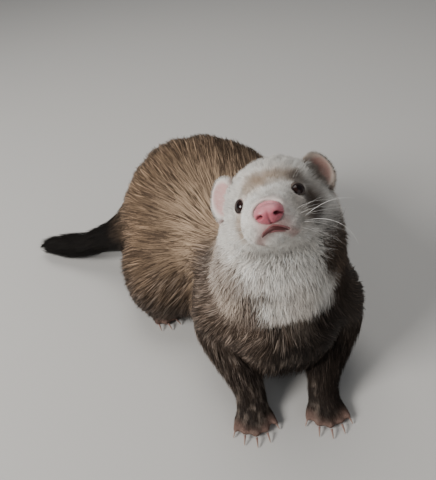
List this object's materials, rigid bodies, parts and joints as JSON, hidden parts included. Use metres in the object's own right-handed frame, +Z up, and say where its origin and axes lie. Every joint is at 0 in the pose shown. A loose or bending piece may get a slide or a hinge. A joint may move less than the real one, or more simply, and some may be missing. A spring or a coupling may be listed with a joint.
{
  "type": "ferret model",
  "caption": "Still, life-size model of a sable domestic ferret on all fours, with an arched back, a raised cream face with a pink nose, dark legs and a dark tail.",
  "frame": {"origin": "middle of the bottom of the bounding box, on the floor", "axes": "+Z up, -Y the way the chest and forepaws face, +X to the animal's left; the hindquarters and tail swing to -X"},
  "size_m": [0.2648, 0.2164, 0.179],
  "materials": {
    "cream_fur": "short dense fur",
    "tan_fur": "long guard hair over pale underfur",
    "sable_fur": "dark fur",
    "black_fur": "near black fur",
    "pink_skin": "bare damp skin",
    "dark_eye": "wet gloss",
    "horn": "satin horn"
  },
  "bodies": {
    "root": {"claw_forepaw_left_1": "horn", "claw_forepaw_left_2": "horn", "claw_forepaw_left_3": "horn", "claw_forepaw_left_4": "horn", "claw_forepaw_left_5": "horn", "claw_forepaw_right_1": "horn", "claw_forepaw_right_2": "horn", "claw_forepaw_right_3": "horn", "claw_forepaw_right_4": "horn", "claw_forepaw_right_5": "horn", "claw_hindpaw_left_1": "horn", "claw_hindpaw_left_2": "horn", "claw_hindpaw_left_3": "horn", "claw_hindpaw_left_4": "horn", "claw_hindpaw_left_5": "horn", "claw_hindpaw_right_1": "horn", "claw_hindpaw_right_2": "horn", "claw_hindpaw_right_3": "horn", "claw_hindpaw_right_4": "horn", "claw_hindpaw_right_5": "horn", "ear_left": "pink_skin", "ear_right": "pink_skin", "eye_left": "dark_eye", "eye_right": "dark_eye", "foreleg_left": "sable_fur", "foreleg_right": "sable_fur", "forepaw_left": "sable_fur", "forepaw_right": "sable_fur", "head": "cream_fur", "hindleg_left": "sable_fur", "hindleg_right": "sable_fur", "hindpaw_left": "sable_fur", "hindpaw_right": "sable_fur", "neck": "cream_fur", "nose": "pink_skin", "tail": "black_fur", "torso": "tan_fur"}
  },
  "joints": []
}
